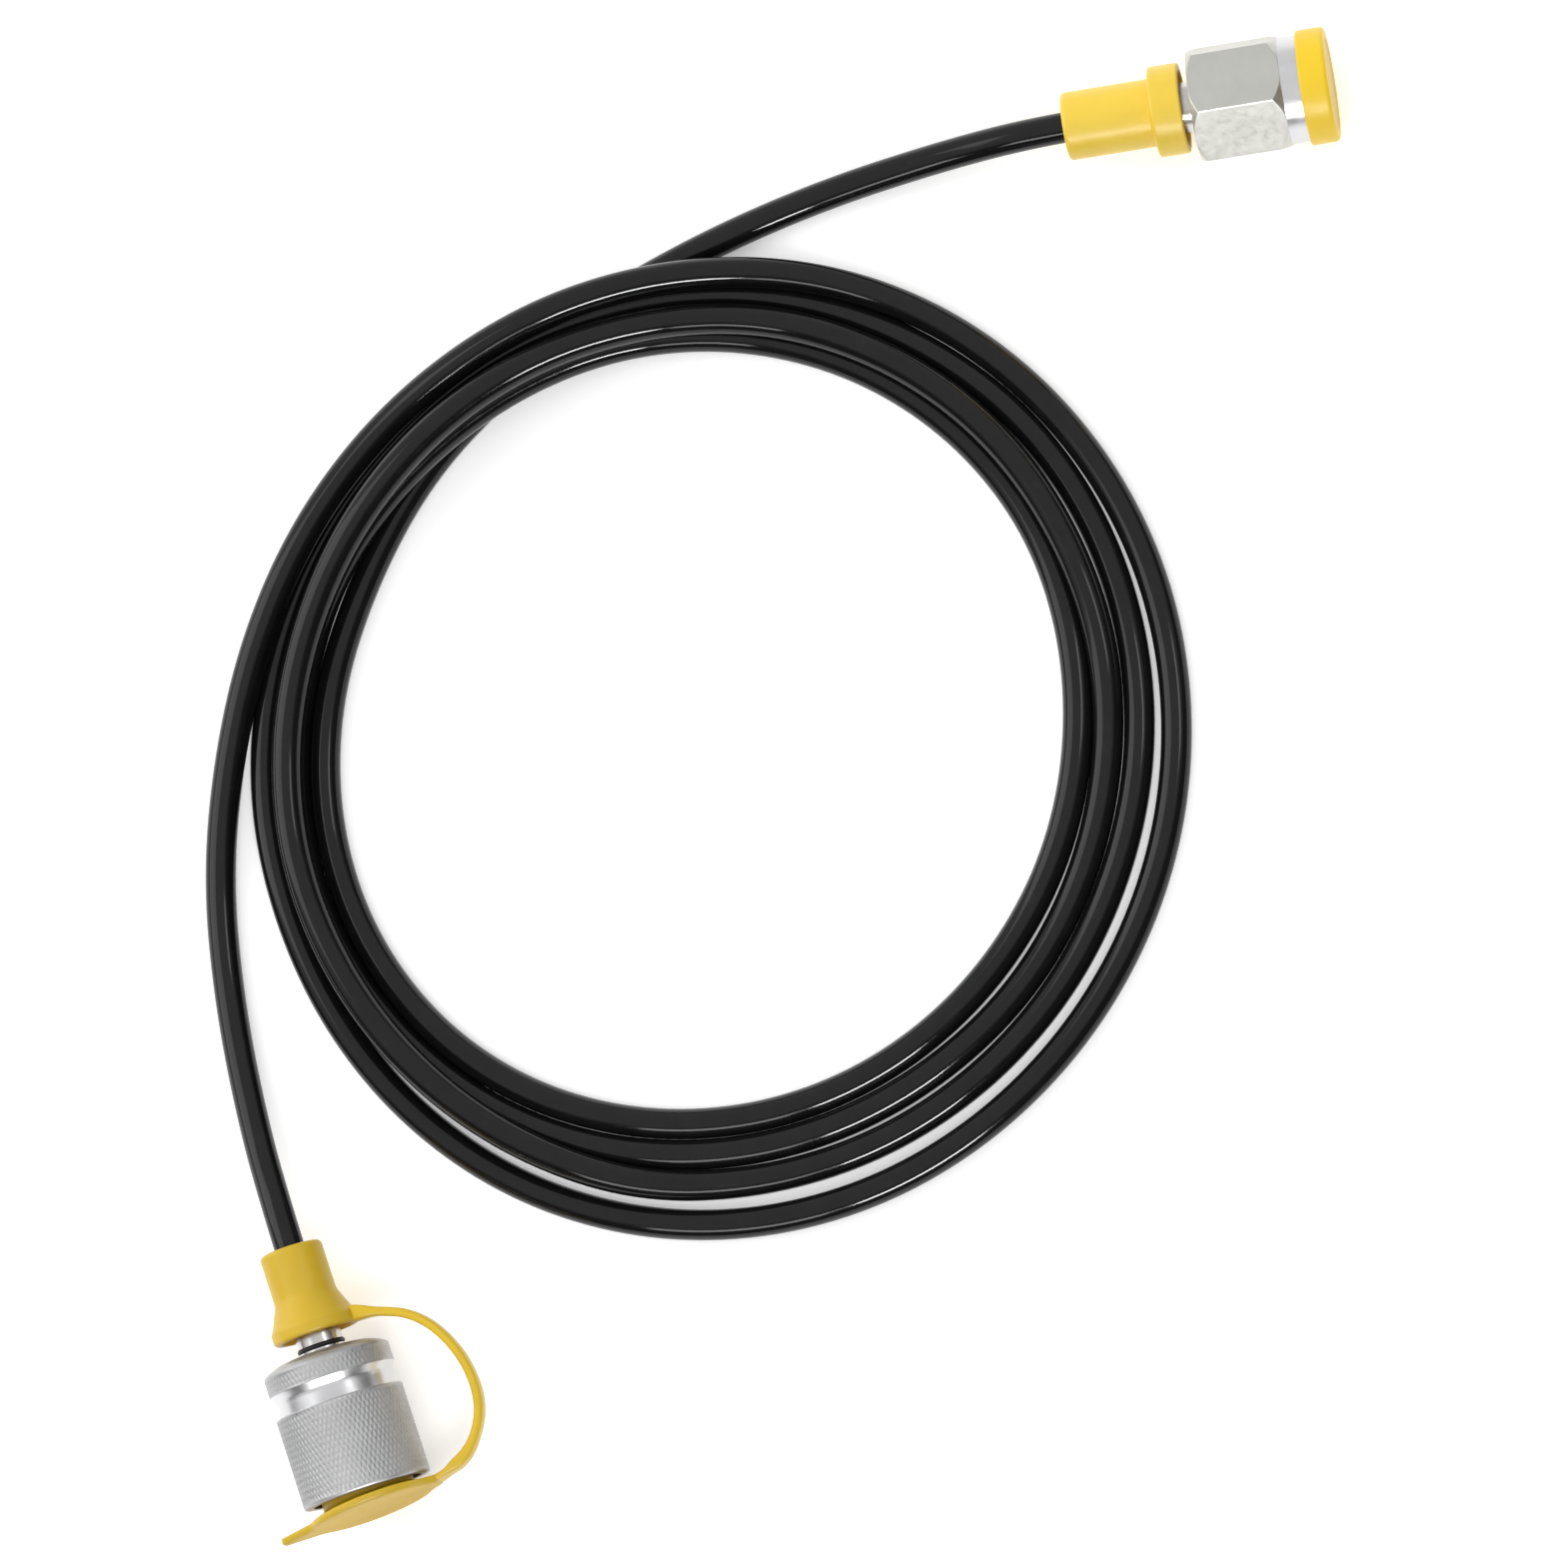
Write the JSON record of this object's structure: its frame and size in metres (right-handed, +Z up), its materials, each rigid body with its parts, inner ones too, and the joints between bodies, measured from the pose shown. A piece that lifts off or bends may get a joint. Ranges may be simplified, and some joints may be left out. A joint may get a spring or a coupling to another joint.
{
  "type": "coiled hose assembly",
  "caption": "Coiled smooth black high-pressure hose with a hexagonal coupling half and a knurled-sleeve coupling half, each with a yellow boot and a dust cover.",
  "frame": {"origin": "on the floor, below the middle of the box that holds the two coupling halves; the coil lies beside it", "axes": "+Z up from the floor the coiled hose lies on; +Y runs from the knurled coupling half towards the hexagonal one; the coil lies flat in XY"},
  "size_m": [0.3469, 0.4476, 0.0393],
  "materials": {
    "hose_black": "smooth glossy black thermoplastic hose cover",
    "boot_yellow": "satin yellow moulded rubber",
    "cap_yellow": "satin bright yellow moulded plastic",
    "zinc_steel": "satin zinc-nickel plated steel",
    "knurled_steel": "matte grey plated steel, fine straight knurl",
    "turned_steel": "bright turned steel",
    "spring_steel": "bright spring wire",
    "seal_black": "black nitrile",
    "backup_white": "white PTFE"
  },
  "bodies": {
    "hose_assembly": {"hose_tail_hex": "hose_black", "hose_coil": "hose_black", "hose_tail_sleeve": "hose_black", "hex_boot": "boot_yellow", "sleeve_boot": "boot_yellow", "plug_strap": "boot_yellow", "hex_body": "zinc_steel", "hex_hose_insert": "turned_steel", "sleeve_hose_insert": "turned_steel", "nose_body": "turned_steel", "hex_crimp_ferrule": "turned_steel", "sleeve_crimp_ferrule": "turned_steel", "hex_valve_guide": "turned_steel", "sleeve_valve_guide": "turned_steel", "hex_snap_ring": "spring_steel", "sleeve_snap_ring": "spring_steel", "hex_poppet_spring": "spring_steel", "sleeve_poppet_spring": "spring_steel", "hex_port_seal": "seal_black", "sleeve_port_seal": "seal_black", "neck_o_ring": "seal_black", "nose_o_ring": "seal_black", "nose_backup_ring": "backup_white"},
    "union_sleeve": {"union_sleeve": "knurled_steel"},
    "dust_cap": {"dust_cap": "cap_yellow"},
    "dust_plug": {"dust_plug": "boot_yellow"},
    "hex_valve": {"hex_poppet": "turned_steel", "hex_poppet_seal": "seal_black"},
    "sleeve_valve": {"sleeve_poppet": "turned_steel", "sleeve_poppet_seal": "seal_black"}
  },
  "joints": [
    {"name": "sleeve_spin", "type": "hinge", "parent": "hose_assembly", "child": "union_sleeve", "pos_m": [-0.13797, -0.18414, 0.01965], "axis": [0.3183, -0.948, 0], "continuous": true},
    {"name": "cap_pull", "type": "slide", "parent": "hose_assembly", "child": "dust_cap", "axis": [0.9914, 0.131, 0], "range_m": [0, 0.04]},
    {"name": "plug_pull", "type": "slide", "parent": "hose_assembly", "child": "dust_plug", "axis": [0.3183, -0.948, 0], "range_m": [0, 0.025], "deforming": ["plug_strap"]},
    {"name": "hex_poppet_push", "type": "slide", "parent": "hose_assembly", "child": "hex_valve", "axis": [-0.9914, -0.131, 0], "range_m": [0, 0.003], "stiffness_N_per_m": 600, "springref_m": -0.003, "deforming": ["hex_poppet_spring"]},
    {"name": "sleeve_poppet_push", "type": "slide", "parent": "hose_assembly", "child": "sleeve_valve", "axis": [-0.3183, 0.948, 0], "range_m": [0, 0.003], "stiffness_N_per_m": 600, "springref_m": -0.003, "deforming": ["sleeve_poppet_spring"]}
  ]
}
